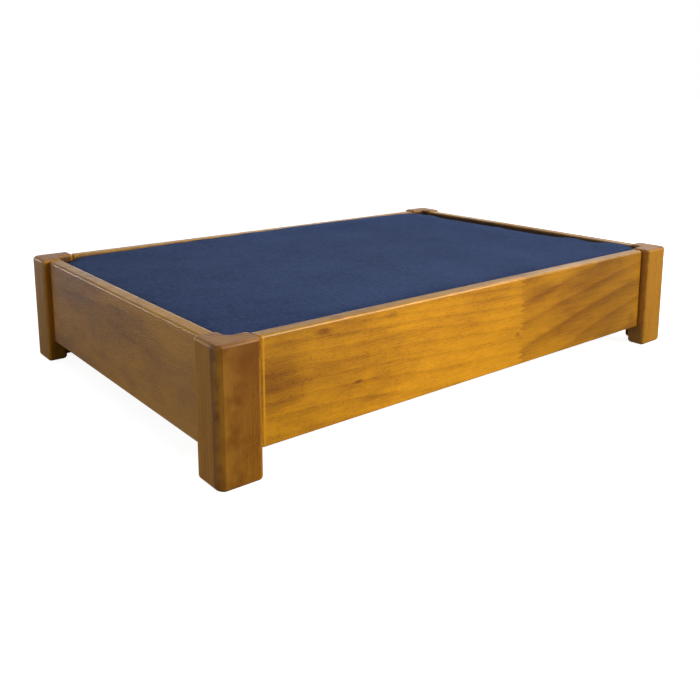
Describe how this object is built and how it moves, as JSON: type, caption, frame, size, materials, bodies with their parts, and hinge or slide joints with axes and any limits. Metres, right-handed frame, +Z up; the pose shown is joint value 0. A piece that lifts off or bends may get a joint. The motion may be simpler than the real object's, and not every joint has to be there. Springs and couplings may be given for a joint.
{
  "type": "dog bed with frame",
  "caption": "Low wooden pet bed: flat rails between L-section corner posts hold a lift-out slatted base and a navy fabric mattress.",
  "frame": {"origin": "centre of the bed on the floor, under the posts", "axes": "+X along the length to the right, +Y to the rear, +Z up; the front is the long side at -Y"},
  "size_m": [0.8, 0.55, 0.152],
  "materials": {
    "rail_wood": "honey-stained solid pine boards, satin varnish, long grain along the rail",
    "post_wood": "honey-brown stained solid wood, satin varnish, upright grain with end grain on top",
    "dowel_wood": "plain beech dowel, unvarnished",
    "base_wood": "plain sanded pine",
    "screw_steel": "yellow zinc plated",
    "foam": "open-cell polyurethane foam, matt",
    "cover_fabric": "navy woven canvas, matt",
    "zip_tape": "woven polyester tape with a nylon coil",
    "zip_metal": "satin nickel plated"
  },
  "bodies": {
    "frame": {"front_left_post": "post_wood", "front_right_post": "post_wood", "rear_right_post": "post_wood", "rear_left_post": "post_wood", "front_rail": "rail_wood", "right_rail": "rail_wood", "rear_rail": "rail_wood", "left_rail": "rail_wood", "front_rail_dowel_left_lower": "dowel_wood", "front_rail_dowel_left_upper": "dowel_wood", "front_rail_dowel_right_lower": "dowel_wood", "front_rail_dowel_right_upper": "dowel_wood", "right_rail_dowel_front_lower": "dowel_wood", "right_rail_dowel_front_upper": "dowel_wood", "right_rail_dowel_rear_lower": "dowel_wood", "right_rail_dowel_rear_upper": "dowel_wood", "rear_rail_dowel_right_lower": "dowel_wood", "rear_rail_dowel_right_upper": "dowel_wood", "rear_rail_dowel_left_lower": "dowel_wood", "rear_rail_dowel_left_upper": "dowel_wood", "left_rail_dowel_rear_lower": "dowel_wood", "left_rail_dowel_rear_upper": "dowel_wood", "left_rail_dowel_front_lower": "dowel_wood", "left_rail_dowel_front_upper": "dowel_wood", "front_cleat": "base_wood", "rear_cleat": "base_wood", "front_cleat_screw_1": "screw_steel", "front_cleat_screw_2": "screw_steel", "front_cleat_screw_3": "screw_steel", "rear_cleat_screw_1": "screw_steel", "rear_cleat_screw_2": "screw_steel", "rear_cleat_screw_3": "screw_steel"},
    "slatted_base": {"slat_1": "base_wood", "slat_2": "base_wood", "slat_3": "base_wood", "slat_4": "base_wood", "slat_5": "base_wood", "slat_6": "base_wood", "front_batten": "base_wood", "rear_batten": "base_wood", "slat_1_screw_front": "screw_steel", "slat_1_screw_rear": "screw_steel", "slat_2_screw_front": "screw_steel", "slat_2_screw_rear": "screw_steel", "slat_3_screw_front": "screw_steel", "slat_3_screw_rear": "screw_steel", "slat_4_screw_front": "screw_steel", "slat_4_screw_rear": "screw_steel", "slat_5_screw_front": "screw_steel", "slat_5_screw_rear": "screw_steel", "slat_6_screw_front": "screw_steel", "slat_6_screw_rear": "screw_steel"},
    "mattress": {"mattress_core": "foam", "cover_top": "cover_fabric", "cover_bottom": "cover_fabric", "cover_band": "cover_fabric", "zip_tape": "zip_tape"},
    "zip_slider": {"zip_slider": "zip_metal"}
  },
  "joints": [
    {"name": "base_lift", "type": "slide", "parent": "frame", "child": "slatted_base", "axis": [0, 0, 1], "range_m": [0, 0.12]},
    {"name": "mattress_lift", "type": "slide", "parent": "slatted_base", "child": "mattress", "axis": [0, 0, 1], "range_m": [0, 0.11]},
    {"name": "zip_run", "type": "slide", "parent": "mattress", "child": "zip_slider", "axis": [-1, 0, 0], "range_m": [0, 0.472]}
  ]
}
